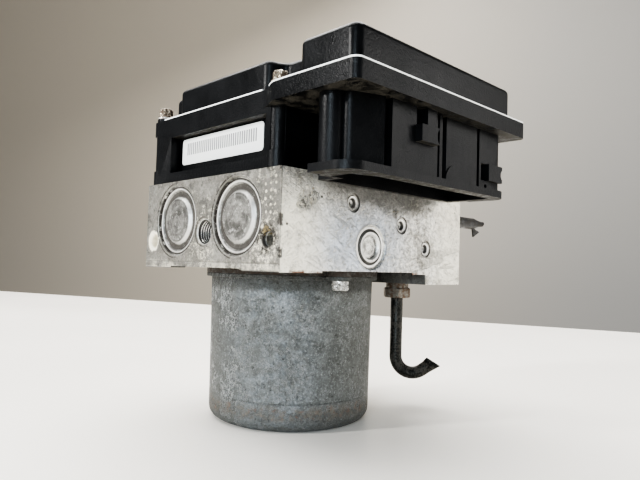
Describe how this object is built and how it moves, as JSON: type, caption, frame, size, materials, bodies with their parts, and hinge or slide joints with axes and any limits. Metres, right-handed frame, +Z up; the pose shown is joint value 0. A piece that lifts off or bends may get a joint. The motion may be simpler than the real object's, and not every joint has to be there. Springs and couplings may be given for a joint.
{
  "type": "abs brake module",
  "caption": "Brake pressure modulator: an alloy valve block with accumulator caps, a round pump motor below, a black moulded control unit with a connector tower above, and cut brake pipes.",
  "frame": {"origin": "centre of the pump motor's flat base", "axes": "+Z up along the motor axis, -Y towards the accumulator face, +X towards the connector tower"},
  "size_m": [0.119, 0.1425, 0.1288],
  "materials": {
    "cast_block": "weathered machined",
    "cap_metal": "weathered pressed",
    "plug_metal": "turned",
    "inner_alloy": "turned",
    "spring_steel": "drawn wire",
    "inner_steel": "ground",
    "coil_plastic": "moulded",
    "housing_plastic": "satin moulded",
    "lid_plastic": "satin moulded",
    "seal_bead": "cured bead",
    "gasket_rubber": "moulded",
    "board": "laminate",
    "board_package": "moulded",
    "contact_metal": "plated",
    "screw_steel": "plated and corroded",
    "bush_metal": "turned",
    "label_film": "printed film, bare",
    "can_steel": "zinc coated, weathered",
    "plate_steel": "zinc coated",
    "magnet": "sintered",
    "carbon": "pressed carbon",
    "inner_plastic": "moulded",
    "nut_steel": "rusty",
    "pipe_coating": "coated"
  },
  "bodies": {
    "unit": {"valve_block": "cast_block", "accumulator_cap_left": "cap_metal", "accumulator_cap_right": "cap_metal", "pump_plug_left": "plug_metal", "pump_plug_right": "plug_metal", "ball_plugs": "plug_metal", "accumulator_spring_left": "spring_steel", "accumulator_spring_right": "spring_steel", "pump_spring_left": "spring_steel", "pump_spring_right": "spring_steel", "brush_springs": "spring_steel", "motor_bearings": "inner_steel", "pressure_sensor": "inner_steel", "inlet_valve_1": "inner_steel", "inlet_valve_2": "inner_steel", "inlet_valve_3": "inner_steel", "inlet_valve_4": "inner_steel", "outlet_valve_1": "inner_steel", "outlet_valve_2": "inner_steel", "outlet_valve_3": "inner_steel", "outlet_valve_4": "inner_steel", "changeover_valve_1": "inner_steel", "changeover_valve_2": "inner_steel", "suction_valve_1": "inner_steel", "suction_valve_2": "inner_steel", "coil_row_1": "coil_plastic", "coil_row_2": "coil_plastic", "coil_row_3": "coil_plastic", "control_housing": "housing_plastic", "control_lid": "lid_plastic", "lid_seal": "seal_bead", "base_gasket": "gasket_rubber", "motor_seal": "gasket_rubber", "circuit_board": "board", "board_parts": "board_package", "connector_pins": "contact_metal", "motor_contact": "contact_metal", "housing_screws": "screw_steel", "motor_screws": "screw_steel", "screw_bushes": "bush_metal", "label": "label_film", "motor_can": "can_steel", "motor_end_plate": "plate_steel", "motor_magnet_front": "magnet", "motor_magnet_rear": "magnet", "brushes": "carbon", "brush_holder": "inner_plastic", "front_nut": "nut_steel", "rear_nut": "nut_steel", "front_pipe": "pipe_coating", "rear_pipe": "pipe_coating"},
    "rotor": {"motor_shaft": "inner_steel", "armature": "inner_steel", "commutator": "contact_metal", "eccentric": "inner_steel", "eccentric_bearing": "inner_steel"},
    "pump_piston_left": {"pump_piston_left": "inner_steel"},
    "pump_piston_right": {"pump_piston_right": "inner_steel"},
    "accumulator_piston_left": {"accumulator_piston_left": "inner_alloy"},
    "accumulator_piston_right": {"accumulator_piston_right": "inner_alloy"}
  },
  "joints": [
    {"name": "rotor_spin", "type": "hinge", "parent": "unit", "child": "rotor", "pos_m": [0, 0, 0.028], "axis": [0, 0, 1], "continuous": true},
    {"name": "pump_piston_left_stroke", "type": "slide", "parent": "unit", "child": "pump_piston_left", "axis": [-1, 0, 0], "range_m": [0, 0.0014], "stiffness_N_per_m": 1500, "springref_m": -0.003, "deforming": ["pump_spring_left"]},
    {"name": "pump_piston_right_stroke", "type": "slide", "parent": "unit", "child": "pump_piston_right", "axis": [1, 0, 0], "range_m": [0, 0.0014], "stiffness_N_per_m": 1500, "springref_m": -0.003, "deforming": ["pump_spring_right"]},
    {"name": "accumulator_left_stroke", "type": "slide", "parent": "unit", "child": "accumulator_piston_left", "axis": [0, -1, 0], "range_m": [0, 0.007], "stiffness_N_per_m": 2000, "springref_m": -0.005, "deforming": ["accumulator_spring_left"]},
    {"name": "accumulator_right_stroke", "type": "slide", "parent": "unit", "child": "accumulator_piston_right", "axis": [0, -1, 0], "range_m": [0, 0.007], "stiffness_N_per_m": 2000, "springref_m": -0.005, "deforming": ["accumulator_spring_right"]}
  ]
}
